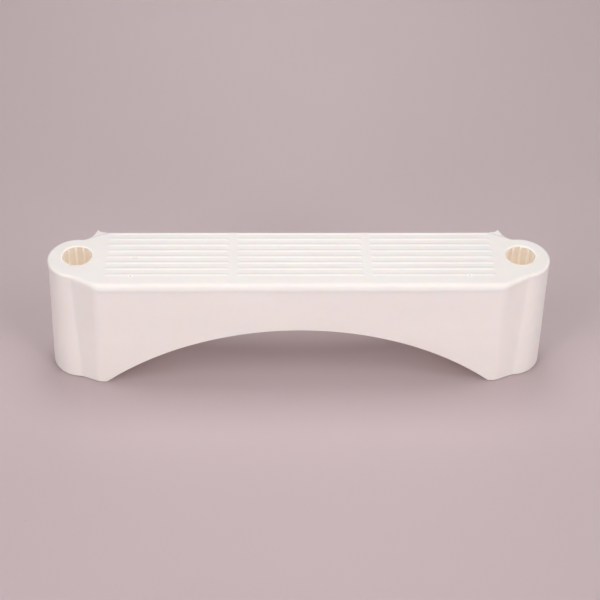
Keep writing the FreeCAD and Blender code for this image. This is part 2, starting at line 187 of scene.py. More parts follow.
def corner_hub(centre, normal, distance, radius, hub_y):
    """Centre of a corner's arc, whose y is known and which a flank line touches."""
    x = centre[0] + ((distance - radius) - (hub_y - centre[1]) * normal[1]) / normal[0]
    return np.array((x, hub_y))


def end_points(shape, inset, rear_y, rear_corner=REAR_CORNER_R):
    """Left end's outline, from the rear edge round the barrel to the front edge."""
    centre = np.array((shape["centre_x"], 0.0))
    radius = shape["barrel"] - inset["barrel"]
    front_normal = direction(-90 - shape["angle"])
    rear_normal = direction(90 + REAR_ANGLE)
    side = inset["flank"]
    rear_side = inset["rear_flank"]

    flank = shape["flank"] - side
    blend = flank_blend(centre, radius, front_normal, direction(-shape["angle"]), flank,
                        shape["blend"] + side, 12)
    corner_r = shape["corner"] - side
    front_y = shape["front"] + inset["front"]
    hub = corner_hub(centre, front_normal, flank, corner_r, front_y + corner_r)
    corner = arc_points(hub, hub + front_normal * corner_r, hub - (0.0, corner_r), 14)

    line_point = np.array((TOP["centre_x"], 0.0)) + rear_normal * REAR_FLANK
    rear_flank = (line_point - centre) @ rear_normal - rear_side
    rear_blend = flank_blend(centre, radius, rear_normal, direction(REAR_ANGLE), rear_flank,
                             shape["rear_blend"] + rear_side, 10)
    rear_edge = rear_y - inset["rear"]
    rear_hub = corner_hub(centre, rear_normal, rear_flank, rear_corner, rear_edge - rear_corner)
    rear = arc_points(rear_hub, rear_hub + (0.0, rear_corner),
                      rear_hub + rear_normal * rear_corner, 6)

    outermost = centre - (radius, 0.0)
    upper = arc_points(centre, rear_blend[0], outermost, 30)
    lower = arc_points(centre, outermost, blend[0], 32)
    return np.array(rear + rear_blend[::-1] + upper[1:] + lower[1:] + blend[1:] + corner)


def same_inset(value):
    """One inset for every stretch of the outline."""
    return dict.fromkeys(RIM_ROUNDS, value)


def outline(shape, inset, z, rear_y=REAR_Y):
    """Closed plan outline at height z, anticlockwise from the left end's rear edge."""
    left = end_points(shape, inset, rear_y)
    right = left[::-1] * (-1.0, 1.0)
    return [(x, y, z) for x, y in np.vstack((left, right))]


def rim_inset(depth):
    """How far the rounded rim stands in at a depth below the deck."""
    inset = {}
    for zone, (inward, downward) in RIM_ROUNDS.items():
        rest = max(1.0 - depth / downward, 0.0)
        inset[zone] = inward * (1.0 - math.sqrt(1.0 - rest ** 2))
    return inset


# ---------------------------------------------------------------- mesh building
def add_object(name, data):
    made = bpy.data.objects.new(name, data)
    bpy.context.scene.collection.objects.link(made)
    return made


class Mesh:
    """Collects points and faces in millimetres, then makes one closed object."""

    def __init__(self):
        self.bm = bmesh.new()

    def row(self, points):
        """New vertices, one for each point."""
        return [self.bm.verts.new(p) for p in points]

    def face(self, *verts):
        distinct = list(dict.fromkeys(verts))
        if len(distinct) > 2:
            self.bm.faces.new(distinct)

    def strip(self, a, b, closed=True):
        """Faces between two rows of the same length."""
        count = len(a)
        for i in range(count if closed else count - 1):
            j = (i + 1) % count
            self.face(a[i], a[j], b[j], b[i])

    def tower(self, rows, closed=True):
        """Faces between each row and the next."""
        for a, b in zip(rows, rows[1:]):
            self.strip(a, b, closed)

    def fill(self, loops):
        """Flat face bounded by closed rows of points; the later rows are holes."""
        edges = []
        for loop in loops:
            for a, b in zip(loop, loop[1:] + loop[:1]):
                edge = self.bm.edges.get((a, b)) or self.bm.edges.new((a, b))
                edges.append(edge)
        bmesh.ops.triangle_fill(self.bm, use_beauty=True, use_dissolve=False, edges=edges)

    def circle(self, x, y, z, radius, count=CIRCLE):
        angles = np.arange(count) * 2 * math.pi / count
        return self.row([(x + radius * math.cos(a), y + radius * math.sin(a), z)
                         for a in angles])

    def circle_y(self, x, z, y, radius):
        angles = np.arange(SMALL_CIRCLE) * 2 * math.pi / SMALL_CIRCLE
        return self.row([(x + radius * math.cos(a), y, z + radius * math.sin(a))
                         for a in angles])

    def data(self, name):
        """Finished mesh data, in metres."""
        bmesh.ops.remove_doubles(self.bm, verts=self.bm.verts, dist=WELD)
        bmesh.ops.recalc_face_normals(self.bm, faces=self.bm.faces)
        bmesh.ops.scale(self.bm, vec=(MM, MM, MM), verts=self.bm.verts)
        made = bpy.data.meshes.new(name)
        self.bm.to_mesh(made)
        self.bm.free()
        made.polygons.foreach_set("use_smooth", [True] * len(made.polygons))
        return made

    def build(self, name, material, replaced):
        """Piece that rides on the body and stands for the replaced nodes."""
        made = self.data(name)
        made.materials.append(material)
        made.set_sharp_from_angle(angle=SHARP_ANGLE)
        piece = add_object(name, made)
        normals = piece.modifiers.new("weighted_normals", "WEIGHTED_NORMAL")
        normals.keep_sharp = True
        normals.weight = NORMAL_WEIGHT
        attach(piece, "root")
        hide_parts(*replaced)


def quarter(steps):
    """Fractions (in, down) along a quarter round, from its flat start to its wall end."""
    return [(1 - math.sin(a), 1 - math.cos(a))
            for a in np.linspace(0.0, math.pi / 2, steps + 1)]


# ---------------------------------------------------------------- deck panel
def rib_profile(t):
    """Height of a rib across its width, t from 0 to 1."""
    return math.sin(math.pi * t) ** 1.2


def rib_patch(mesh, x0, x1, y0, y1):
    """Raised rib with soft ends. Returns its border, which lies in the deck surface."""
    xs = [x0 + s for s in RIB_SOFT_END] + [x1 - s for s in reversed(RIB_SOFT_END)]
    ends = [math.sin(s / RIB_SOFT_END[-1] * math.pi / 2) for s in RIB_SOFT_END]
    ends += ends[::-1]
    grid = []
    for t in np.linspace(0.0, 1.0, RIB_STEPS + 1):
        height = RIB_HEIGHT * rib_profile(t)
        y = y0 + (y1 - y0) * t
        grid.append(mesh.row([(x, y, DECK_Z + height * e) for x, e in zip(xs, ends)]))
    mesh.tower(grid, closed=False)
    border = grid[0] + [row[-1] for row in grid[1:-1]]
    border += grid[-1][::-1] + [row[0] for row in grid[-2:0:-1]]
    return border


def deck_panel(material):
    mesh = Mesh()
    rim = [mesh.row(outline(TOP, rim_inset(d), DECK_Z - d)) for d in RIM_DEPTHS]
    low = DECK_Z - SKIRT_DEPTH
    rim.append(mesh.row(outline(TOP, same_inset(0.0), low + SEAM_LIP)))
    rim.append(mesh.row(outline(TOP, same_inset(SEAM_LIP * 0.3), low + SEAM_LIP * 0.3)))
    rim.append(mesh.row(outline(TOP, same_inset(SEAM_LIP), low)))
    rim.append(mesh.row(outline(TOP, same_inset(SKIRT_WALL), low)))
    rim.append(mesh.row(outline(TOP, same_inset(SKIRT_WALL), DECK_Z - PLATE)))
    mesh.tower(rim)

    start = RIB_GAP_X + RIB_GAP_WIDTH / 2
    inner = RIB_GAP_X - RIB_GAP_WIDTH / 2
    spans = [(-RIB_GROUP_END_X, -start), (-inner, inner), (start, RIB_GROUP_END_X)]
    half = RIB_WIDTH / 2
    rear_limit = REAR_Y - RIM_ROUNDS["rear"][0] - 0.05
    top_loops = [rim[0]]
    for row in range(RIB_COUNT):
        y = RIB_FIRST_Y + row * RIB_PITCH
        for x0, x1 in spans:
            top_loops.append(rib_patch(mesh, x0, x1, y - half, min(y + half, rear_limit)))

    bottom_loops = [rim[-1]]
    for side in (-1, 1):
        x = side * SOCKET_X
        bore = [mesh.circle(x, SOCKET_Y, DECK_Z - HOLE_RIM * down,
                            POST_BORE_R + HOLE_RIM * inward)
                for inward, down in quarter(EDGE_STEPS)]
        bore.append(mesh.circle(x, SOCKET_Y, DECK_Z - HOLE_EDGE, POST_BORE_R))
        bore.append(mesh.circle(x, SOCKET_Y, DECK_Z - HOLE_EDGE, TUBE_BORE_R))
        bore.append(mesh.circle(x, SOCKET_Y, DECK_Z - PLATE, TUBE_BORE_R))
        mesh.tower(bore)
        top_loops.append(bore[0])
        bottom_loops.append(bore[-1])
    mesh.fill(top_loops)
    mesh.fill(bottom_loops)
    mesh.build("deck_panel_skin", material, ["deck_panel"])


# ---------------------------------------------------------------- body shell
def front_y(z):
    """Depth of the leaning front apron at height z."""
    share = (z - FOOT_Z) / (BODY_TOP_Z - FOOT_Z)
    return FRONT_FLOOR_Y + (FRONT_TOP_Y + SEAM_STEP - FRONT_FLOOR_Y) * share


def outward_normals(points):
    """Unit normals of the left end's outline, pointing away from the object."""
    step = np.gradient(points, axis=0)
    normals = np.stack((step[:, 1], -step[:, 0]), axis=1)
    return normals / np.linalg.norm(normals, axis=1)[:, None]


def arch_edge():
    """Turns along the arch, and its lower front edge as (x, z, direction into the wall)."""
    toe = math.asin(math.sqrt(ARCH_R ** 2 - (FOOT_Z - ARCH_CENTRE_Z) ** 2) / ARCH_R)
    turns = np.linspace(-toe, toe, ARCH_POINTS)
    edge = [(ARCH_R * math.sin(a), ARCH_R * math.cos(a) + ARCH_CENTRE_Z,
             np.array((math.sin(a), math.cos(a)))) for a in turns]
    for i in (0, -1):
        x, z, into = edge[i]
        edge[i] = (x, z, (into + (0.0, 1.0)) / (1.0 + into[1]))
    return turns, edge


def body_rows(edge):
    """Levels of the outer wall from the feet to the seam, and the points in one end of each."""
    low = end_points(FLOOR, same_inset(0.0), BODY_REAR_Y, BODY_REAR_CORNER_R)
    high = end_points(TOP, same_inset(SEAM_STEP), BODY_REAR_Y, BODY_REAR_CORNER_R)
    height = BODY_TOP_Z - FOOT_Z
    outward = outward_normals(low)
    top_x = np.linspace(high[-1][0], -high[-1][0], len(edge) + 2)[1:-1]

    def wall_row(share):
        """Share 0 is just above the rounded edge and 1 at the seam."""
        start = EDGE_R / height
        t = start + (1 - start) * share
        left = low + (high - low) * t
        z = FOOT_Z + height * t
        row = [(x, y, z) for x, y in left]
        for (x, z0, into), x1 in zip(edge, top_x):
            x_low, z_low = x + into[0] * EDGE_R, z0 + into[1] * EDGE_R
            zz = z_low + (BODY_TOP_Z - z_low) * share
            row.append((x_low + (x1 - x_low) * share, front_y(zz), zz))
        return row + [(-x, y, z) for x, y in left[::-1]]

    def edge_row(inward, up):
        """Level of the rounded lower edge, by fractions of its radius."""
        left = low + (high - low) * (EDGE_R * up / height) - outward * EDGE_R * inward
        z = FOOT_Z + EDGE_R * up
        row = [(x, y, z) for x, y in left]
        for x, z0, into in edge:
            zz = z0 + into[1] * EDGE_R * up
            row.append((x + into[0] * EDGE_R * up, front_y(zz) + EDGE_R * inward, zz))
        return row + [(-x, y, z) for x, y in left[::-1]]

    rows = [edge_row(inward, up) for up, inward in reversed(quarter(EDGE_STEPS))]
    rows += [wall_row(share) for share in np.linspace(0.0, 1.0, WALL_LEVELS + 1)[1:]]
    return rows, len(low)


def foot(mesh, side, border):
    """Flat foot with its post bore and pad recesses. Returns the bore's top circle."""
    x = side * SOCKET_X
    bore = [mesh.circle(x, SOCKET_Y, FOOT_Z, POST_HOLE_R + POST_HOLE_CHAMFER),
            mesh.circle(x, SOCKET_Y, FOOT_Z + POST_HOLE_CHAMFER, POST_HOLE_R),
            mesh.circle(x, SOCKET_Y, SLEEVE_BASE_Z, POST_HOLE_R),
            mesh.circle(x, SOCKET_Y, SLEEVE_BASE_Z, TUBE_BORE_R),
            mesh.circle(x, SOCKET_Y, BODY_TOP_Z, TUBE_BORE_R)]
    mesh.tower(bore)
    loops = [border, bore[0]]
    for dx, dy in PAD_OFFSETS:
        pad_x, pad_y = side * (SOCKET_X - dx), SOCKET_Y + dy
        recess = [mesh.circle(pad_x, pad_y, z, PAD_R, SMALL_CIRCLE)
                  for z in (FOOT_Z, PAD_RECESS_Z)]
        mesh.tower(recess)
        mesh.fill([recess[1]])
        loops.append(recess[0])
    mesh.fill(loops)
    return bore[-1]


def soffit(mesh, turns, front):
    """Underside of the arch, flattened out, filled and bent back, with the wells left open."""
    points = []
    edges = []
    for i, (turn, vertex) in enumerate(zip(turns, front)):
        points.append(Vector((turn * ARCH_R, vertex.co.y)))
        points.append(Vector((turn * ARCH_R, BODY_REAR_Y)))
        edges.append((2 * i, 2 * i + 1))
        if i:
            edges.append((2 * i - 2, 2 * i))
            edges.append((2 * i - 1, 2 * i + 1))
    for x, y in WELL_PLACES:
        first = len(points)
        for k in range(WELL_CIRCLE):
            a = 2 * math.pi * k / WELL_CIRCLE
            along = ARCH_R * math.asin((x + WELL_BORE_R * math.cos(a)) / ARCH_R)
            points.append(Vector((along, y + WELL_BORE_R * math.sin(a))))
            edges.append((first + k, first + (k + 1) % WELL_CIRCLE))
    filled = delaunay_2d_cdt(points, edges, [], 0, 1e-5)
    made = mesh.row([(ARCH_R * math.sin(v.x / ARCH_R), v.y,
                      ARCH_R * math.cos(v.x / ARCH_R) + ARCH_CENTRE_Z) for v in filled[0]])
    for face in filled[2]:
        centre = sum((made[i].co for i in face), Vector()) / len(face)
        if not any(math.hypot(centre.x - x, centre.y - y) < WELL_BORE_R - 0.02
                   for x, y in WELL_PLACES):
            mesh.face(*[made[i] for i in face])


def screw_wells(mesh):
    """Bores from the soffit up to the shelves that the screw heads bear on."""
    bmesh.ops.remove_doubles(mesh.bm, verts=mesh.bm.verts, dist=WELD)
    for x, y in WELL_PLACES:
        ring = [e for e in mesh.bm.edges if e.is_boundary and
                all(abs(math.hypot(v.co.x - x, v.co.y - y) - WELL_BORE_R) < 0.05
                    for v in e.verts)]
        raised = bmesh.ops.extrude_edge_only(mesh.bm, edges=ring)["geom"]
        for part in raised:
            if isinstance(part, bmesh.types.BMVert):
                part.co.z = SHELF_Z
        rim = [part for part in raised if isinstance(part, bmesh.types.BMEdge)]
        bmesh.ops.triangle_fill(mesh.bm, use_beauty=True, use_dissolve=False, edges=rim)


def body_shell(material):
    mesh = Mesh()
    turns, edge = arch_edge()
    points, count = body_rows(edge)
    rows = [mesh.row(level) for level in points]
    mesh.tower(rows, closed=False)
    bottom, top = rows[0], rows[-1]

    arch_back = mesh.row([(x, BODY_REAR_Y, z) for x, z, _ in edge])
    mesh.fill([[row[0] for row in reversed(rows)] + arch_back + [row[-1] for row in rows]])
    left_border = bottom[:count + 1] + [arch_back[0]]
    right_border = [arch_back[-1]] + bottom[-count - 1:]
    mesh.fill([top, foot(mesh, -1, left_border), foot(mesh, 1, right_border)])
    soffit(mesh, turns, bottom[count:-count])
    screw_wells(mesh)
    mesh.build("body_shell_skin", material, ["body_shell"])


# ---------------------------------------------------------------- socket sleeves
def crush_rib_bore():
    """(angle from a rib's middle, radius) round one full turn of the ribbed bore."""
    half_pitch = math.pi / CRUSH_RIBS
    flat, foot = CRUSH_RIB_W / 2 - CRUSH_RIB_FLANK, CRUSH_RIB_W / 2 + CRUSH_RIB_FLANK
    side = [(flat + (foot - flat) * t, RIB_TIP_R + (GROOVE_R - RIB_TIP_R) * (3 - 2 * t) * t * t)
            for t in np.linspace(0.0, 1.0, 7)]
    side = [(s / RIB_TIP_R, r) for s, r in side]
    side += [(side[-1][0] + (half_pitch - side[-1][0]) * t, GROOVE_R) for t in (0.25, 0.5, 0.75)]
    period = [(-a, r) for a, r in reversed(side)] + [(0.0, RIB_TIP_R)] + side
    period.append((half_pitch, GROOVE_R))
    return [(a + 2 * half_pitch * k, r) for k in range(CRUSH_RIBS) for a, r in period]


def socket_sleeve(side, node, material):
    mesh = Mesh()
    bore = crush_rib_bore()
    first = math.radians(FIRST_CRUSH_RIB)
    x = side * SOCKET_X
    top = DECK_Z - HOLE_EDGE - 0.2

    def ring(z, radius, ribbed=0.0):
        """Level of the tube: a plain circle, or the ribbed bore where ribbed is 1."""
        points = []
        for a, r in bore:
            angle = first + a if side < 0 else math.pi - first - a
            reach = radius + (r - radius) * ribbed
            points.append((x + reach * math.cos(angle), SOCKET_Y + reach * math.sin(angle), z))
        return mesh.row(points)

    chamfer = 0.3
    rows = [ring(SLEEVE_BASE_Z, POST_BORE_R + SLEEVE_LIP),
            ring(SLEEVE_BASE_Z, SLEEVE_R - SLEEVE_LIP),
            ring(SLEEVE_BASE_Z + SLEEVE_LIP, SLEEVE_R), ring(top - chamfer, SLEEVE_R),
            ring(top, SLEEVE_R - chamfer), ring(top, POST_BORE_R, 1.0),
            ring(SLEEVE_PLAIN_TOP + SLEEVE_RIB_RISE, POST_BORE_R, 1.0),
            ring(SLEEVE_PLAIN_TOP, POST_BORE_R), ring(SLEEVE_BASE_Z + SLEEVE_LIP, POST_BORE_R)]
    mesh.tower(rows + rows[:1])
    mesh.build(node + "_liner", material, [node])


# ---------------------------------------------------------------- rear panel
def panel_outline(inset, y):
    """Outline of the arched plate, drawn in by inset all round."""
    radius = ARCH_R + inset
    low = FOOT_Z + inset
    toe = math.asin(math.sqrt(radius ** 2 - (low - ARCH_CENTRE_Z) ** 2) / radius)
    end_x = PANEL_END_X - inset
    points = [(-end_x, y, low)]
    points += [(radius * math.sin(a), y, radius * math.cos(a) + ARCH_CENTRE_Z)
               for a in np.linspace(-toe, toe, PANEL_ARCH_POINTS)]
    return points + [(end_x, y, low), (end_x, y, BODY_TOP_Z - inset),
                     (-end_x, y, BODY_TOP_Z - inset)]


def lug_outline():
    """Plan of the left corner lug."""
    normal = direction(90 + REAR_ANGLE)
    along = direction(REAR_ANGLE)
    foot = np.array((TOP["centre_x"], 0.0)) + normal * (REAR_FLANK + LUG_GAP)
    inner_low = foot + along * ((LUG_START_X - foot[0]) / along[0])
    inner_high = foot + along * ((LUG_END_X - foot[0]) / along[0])
    tip, shoulder, heel, low_bend, high_bend = (
        np.array(p) for p in (LUG_TIP, LUG_SHOULDER, LUG_HEEL, LUG_LOW_BEND, LUG_HIGH_BEND))
    toe = np.array((LUG_END_X, REAR_Y))

    def bend(a, b, c, count):
        """Smooth curve from a to c, drawn towards b."""
        return [(1 - t) ** 2 * a + 2 * t * (1 - t) * b + t * t * c
                for t in np.linspace(0.0, 1.0, count)]

    before_tip = tip + (shoulder - tip) * 0.12
    after_tip = tip + (high_bend - tip) * 0.2
    points = bend(inner_low, low_bend, shoulder, 9)
    points += bend(before_tip, tip, after_tip, 5)
    points += bend(tip + (high_bend - tip) * 0.4, high_bend, heel, 6)
    return points + [toe, inner_high]


def inset_loop(points, distance):
    """Points moved into the outline along their mean normals."""
    moved = []
    for i, p in enumerate(points):
        before, after = points[i - 1], points[(i + 1) % len(points)]
        a = (p - before) / np.linalg.norm(p - before)
        b = (after - p) / np.linalg.norm(after - p)
        normal = np.array((a[1] + b[1], -a[0] - b[0]))
        moved.append(p + normal / max(np.linalg.norm(normal), 1.0) * distance)
    return moved


def rear_panel(material):
    mesh = Mesh()
    rows = [mesh.row(panel_outline(PANEL_INNER_ROUND, PANEL_FRONT_Y)),
            mesh.row(panel_outline(0.0, PANEL_FRONT_Y + PANEL_INNER_ROUND))]
    rows += [mesh.row(panel_outline(PANEL_ROUND * inward, REAR_Y - PANEL_ROUND * depth))
             for depth, inward in quarter(5)]
    mesh.tower(rows)
    back_loops, front_loops = [rows[-1]], [rows[0]]
    for x, z in PANEL_SCREWS:
        lip = 0.15
        hole = [mesh.circle_y(x, z, REAR_Y, COUNTERSINK_R + lip),
                mesh.circle_y(x, z, REAR_Y - lip, COUNTERSINK_R),
                mesh.circle_y(x, z, REAR_Y - COUNTERSINK_DEPTH, PANEL_HOLE_R),
                mesh.circle_y(x, z, PANEL_FRONT_Y, PANEL_HOLE_R)]
        mesh.tower(hole)
        back_loops.append(hole[0])
        front_loops.append(hole[-1])
    mesh.fill(back_loops)
    mesh.fill(front_loops)

    plan = lug_outline()
    levels = [(FOOT_Z + 0.05, 0.2), (FOOT_Z + 0.25, 0.0)]
    levels += [(DECK_Z - LUG_ROUND * depth, LUG_ROUND * inward) for depth, inward in quarter(4)]
    for side in (-1, 1):
        tower = [mesh.row([(-side * x, y, z) for x, y in inset_loop(plan, inset)])
                 for z, inset in levels]
        mesh.tower(tower)
        mesh.fill([tower[0]])
        mesh.fill([tower[-1]])
    mesh.build("rear_panel_skin", material, ["rear_panel"])


# ---------------------------------------------------------------- materials
IVORY = (0.85, 0.805, 0.78)
IVORY_WORN = (0.90, 0.875, 0.85)
# Painted shade: darker, warmer colour for the body's downward-facing faces
IVORY_PAINTED_SHADE = (0.80, 0.72, 0.66)
NYLON = (0.98, 0.91, 0.84)
NYLON_WORN = (0.99, 0.97, 0.93)
# Painted shade in the sleeve's grooves, and a darker painted shadow at their top under the deck's
# rim
NYLON_GROOVE_SHADE = (0.86, 0.77, 0.67)
NYLON_MOUTH_SHADOW = (0.58, 0.46, 0.36)
FLOOR_COLOUR = (0.592, 0.487, 0.502)
SPECK_COLOUR = (0.40, 0.30, 0.30)
# Painted reflection: warm glow on the rounded rims of the deck's post holes
HOLE_PAINTED_GLOW = (0.93, 0.85, 0.76)

# Marks on the deck, in millimetres of the plan
GATE_MARKS = [(-167.0, -28.4), (167.0, -28.4)]
GATE_HALO = (0.93, 0.91, 0.89)
GATE_CORE = (0.55, 0.46, 0.42)
# Light stains: x, y, radius in metres, strength
SMUDGES = [(-164.9, -1.2, 0.0022, 0.3), (-162.4, -0.9, 0.0022, 0.3),
           (174.7, 22.1, 0.0016, 0.25), (148.7, 15.8, 0.0014, 0.2)]
SMUDGE_COLOUR = (0.60, 0.54, 0.50)

# Noise scales of the moulded plastic, in features per metre
CLOUD, FLOW, RUBBING, SCUFFS = 9.0, 30.0, 160.0, 420.0
POLISH, GRAIN, SINK = 55.0, 1500.0, 28.0
# How far the bevel that finds the edges reaches, in metres, and how sharply it answers
PLASTIC_EDGE, NYLON_EDGE, RUBBER_EDGE, STEEL_EDGE = 0.0011, 0.0005, 0.0008, 0.0004
EDGE_GAIN = 6.0
FINE_GRAIN = 0.00003
SINK_DEPTH = 0.00012


class Surface:
    """Node material with the parts that every finish here shares."""

    def __init__(self, name):
        self.material = bpy.data.materials.new(name)
        self.material.use_nodes = True
        self.tree = self.material.node_tree
        self.shader = self.tree.nodes["Principled BSDF"]
        self.place = self.node("TexCoord").outputs["Object"]

    def node(self, kind, inputs=None, **settings):
        """New node. An input is a constant, or a socket to link from."""
        made = self.tree.nodes.new("ShaderNode" + kind)
        for key, value in settings.items():
            setattr(made, key, value)
        for key, value in (inputs or {}).items():
            if isinstance(value, bpy.types.NodeSocket):
                self.tree.links.new(value, made.inputs[key])
            else:
                made.inputs[key].default_value = value
        return made

    def noise(self, scale, detail=2.0, stretch=(1, 1, 1), offset=0.0):
        """Noise from 0 to 1; scale is in features per metre along an unstretched axis."""
        laid = self.node("Mapping", {"Vector": self.place, "Scale": stretch,
                                     "Location": (offset, offset, offset)})
        return self.node("TexNoise", {"Vector": laid.outputs["Vector"], "Scale": scale,
                                      "Detail": detail}).outputs["Fac"]

    def remap(self, value, low, high, to_low, to_high, smooth=False):
        """Value moved from the range low..high to the range to_low..to_high."""
        return self.node("MapRange", {"Value": value, "From Min": low, "From Max": high,
                                      "To Min": to_low, "To Max": to_high},
                         interpolation_type="SMOOTHSTEP" if smooth else "LINEAR"
                         ).outputs["Result"]

    def math(self, operation, a, b):
        return self.node("Math", {0: a, 1: b}, operation=operation).outputs["Value"]

    def blend(self, share, first, second):
        """Colour between two, each a colour or a socket."""
        mix = self.node("Mix", {"Factor": share}, data_type="RGBA")
        for key, value in ((6, first), (7, second)):
            if isinstance(value, bpy.types.NodeSocket):
                self.tree.links.new(value, mix.inputs[key])
            else:
                mix.inputs[key].default_value = (*value, 1)
        return mix.outputs[2]

    def edges(self, radius):
        """1 along edges and 0 on open surface, from how a small bevel turns the normal."""
        bevel = self.node("Bevel", {"Radius": radius}, samples=6)
        normal = self.node("NewGeometry").outputs["Normal"]
        same = self.node("VectorMath", {0: bevel.outputs["Normal"], 1: normal},
                         operation="DOT_PRODUCT").outputs["Value"]
        return self.remap(same, 1.0 - 1.0 / EDGE_GAIN, 0.995, 1.0, 0.0, smooth=True)

    def spot(self, x, y, low, high):
        """1 within low metres of a point of the plan, fading to 0 at high."""
        flat = self.node("VectorMath", {0: self.place, 1: (1, 1, 0)}, operation="MULTIPLY")
        far = self.node("VectorMath", {0: flat.outputs["Vector"], 1: (x * MM, y * MM, 0)},
                        operation="DISTANCE").outputs["Value"]
        return self.remap(far, low, high, 1.0, 0.0, smooth=True)

    def bump(self, height, distance, below=None):
        inputs = {"Height": height, "Distance": distance}
        if below is not None:
            inputs["Normal"] = below
        return self.node("Bump", inputs).outputs["Normal"]

    def finish(self, colour, roughness, normal, **constants):
        """Links the three varied inputs and sets the others on the shader itself."""
        for key, value in (("Base Color", colour), ("Roughness", roughness), ("Normal", normal)):
            self.tree.links.new(value, self.shader.inputs[key])
        for key, value in constants.items():
            self.shader.inputs[key.replace("_", " ")].default_value = value
        return self.material


def hole_and_marks(skin, paint):
    """Painted warm glow round the post holes, standing for light thrown back out of the bores,
    then the deck's gate marks and light stains.
    """
    for side in (-1, 1):
        # Painted reflection: a warm glow on each hole's rounded rim
        lip = skin.spot(side * SOCKET_X, SOCKET_Y, 0.0149, 0.0168)
        paint = skin.blend(skin.math("MULTIPLY", lip, 0.8), paint, HOLE_PAINTED_GLOW)
    for x, y in GATE_MARKS:
        halo = skin.spot(x, y, 0.0014, 0.0034)
        paint = skin.blend(skin.math("MULTIPLY", halo, 0.7), paint, GATE_HALO)
        core = skin.spot(x, y, 0.0006, 0.0015)
        paint = skin.blend(skin.math("MULTIPLY", core, 0.55), paint, GATE_CORE)
    for x, y, size, depth in SMUDGES:
        smear = skin.math("MULTIPLY", skin.spot(x, y, size * 0.2, size), depth)
        paint = skin.blend(smear, paint, SMUDGE_COLOUR)
    return paint


def moulded(name, colour, worn, rough, offset=0.0, marks=False, painted_underside_shade=None):
    """Satin injection-moulded plastic: clouded tone, spark-eroded grain, rubbed edges, and
    painted shade on downward faces when a shade colour is given.
    """
    skin = Surface(name)
    cloud = skin.noise(CLOUD, 3.0, offset=offset)
    flow = skin.noise(FLOW, 2.0, stretch=(0.25, 1, 1), offset=offset)
    tone = skin.remap(skin.math("ADD", cloud, flow), 0.7, 1.3, 0.0, 1.0)
    shade = tuple(c * 0.975 for c in colour)
    paint = skin.blend(tone, shade, colour)
    # Painted shade: faces that turn downward are mixed towards a darker, warmer colour, standing
    # for the shade under the object
    if painted_underside_shade:
        geometry = skin.node("NewGeometry").outputs["Normal"]
        facing = skin.node("SeparateXYZ", {"Vector": geometry}).outputs["Z"]
        painted_shade_share = skin.remap(facing, -0.35, -0.85, 0.0, 1.0, smooth=True)
        paint = skin.blend(painted_shade_share, paint, painted_underside_shade)
    rub = skin.remap(skin.noise(RUBBING, 4.0, offset=offset), 0.35, 0.65, 0.25, 1.0)
    edge = skin.math("MULTIPLY", skin.edges(PLASTIC_EDGE), rub)
    paint = skin.blend(skin.math("MULTIPLY", edge, 0.55), paint, worn)
    scuff = skin.noise(SCUFFS, 3.0, stretch=(0.06, 1, 1), offset=offset)
    scuffed = skin.remap(scuff, 0.62, 0.74, 0.0, 0.05)
    rough_open = skin.remap(skin.noise(POLISH, 3.0, offset=offset), 0.3, 0.7,
                             rough - 0.04, rough + 0.05)
    rough_all = skin.math("ADD", skin.math("ADD", rough_open, scuffed),
                          skin.math("MULTIPLY", edge, -0.08))
    relief = skin.noise(GRAIN, 3.0, offset=offset)
    if marks:
        paint = hole_and_marks(skin, paint)
    normal = skin.bump(relief, FINE_GRAIN)
    normal = skin.bump(skin.noise(SINK, 2.0, offset=offset), SINK_DEPTH, below=normal)
    return skin.finish(paint, rough_all, normal, IOR=1.5, Specular_IOR_Level=0.36,
                       Subsurface_Weight=0.45, Subsurface_Radius=(0.004, 0.0026, 0.0018),
                       Subsurface_Scale=1.0)


def socket_nylon():
    """Natural nylon: ribs polished by the posts, grooves painted a warmer, darker shade, with a
    darker painted shadow at their top under the deck's rim.
    """
    skin = Surface("sleeve_plastic")
    along_x = skin.node("SeparateXYZ", {"Vector": skin.place}).outputs
    off_axis = skin.math("SUBTRACT", skin.math("ABSOLUTE", along_x["X"], 0.0), SOCKET_X * MM)
    flat = skin.node("CombineXYZ", {"X": off_axis, "Y": along_x["Y"]}).outputs["Vector"]
    reach = skin.node("VectorMath", {0: flat, 1: (0.0, SOCKET_Y * MM, 0.0)},
                      operation="DISTANCE").outputs["Value"]
    # Painted shade: the grooves are darkened and warmed in noise patches, and a painted shadow
    # darkens them further near the top, under the deck's rim
    groove = skin.remap(reach, 0.01495, 0.0157, 0.0, 1.0, smooth=True)
    mouth_shadow = skin.remap(along_x["Z"], (SLEEVE_TOP_Z - 5.0) * MM, SLEEVE_TOP_Z * MM, 0.0, 1.0, True)
    patchiness = skin.remap(skin.noise(60.0, 3.0, stretch=(1, 1, 0.2)), 0.3, 0.7, 0.75, 1.0)
    painted_groove_shade = skin.blend(skin.math("MULTIPLY", mouth_shadow, 0.75), NYLON_GROOVE_SHADE, NYLON_MOUTH_SHADOW)
    paint = skin.blend(skin.math("MULTIPLY", groove, patchiness), NYLON, painted_groove_shade)
    edge = skin.math("MULTIPLY", skin.edges(NYLON_EDGE), 0.5)
    paint = skin.blend(edge, paint, NYLON_WORN)
    streak = skin.noise(900.0, 2.0, stretch=(1, 1, 0.03))
    rough = skin.math("ADD", skin.remap(streak, 0.3, 0.7, 0.28, 0.40),
                      skin.math("MULTIPLY", groove, 0.12))
    normal = skin.bump(skin.noise(1600.0, 2.0, stretch=(1, 1, 0.1)), 0.00001)
    # The faint glow stands for the daylight that the thin ivory wall lets through
    return skin.finish(paint, rough, normal, IOR=1.53, Subsurface_Weight=0.25,
                       Subsurface_Radius=(0.004, 0.003, 0.002), Subsurface_Scale=1.0,
                       Emission_Color=(1.0, 0.86, 0.72, 1.0), Emission_Strength=0.12)


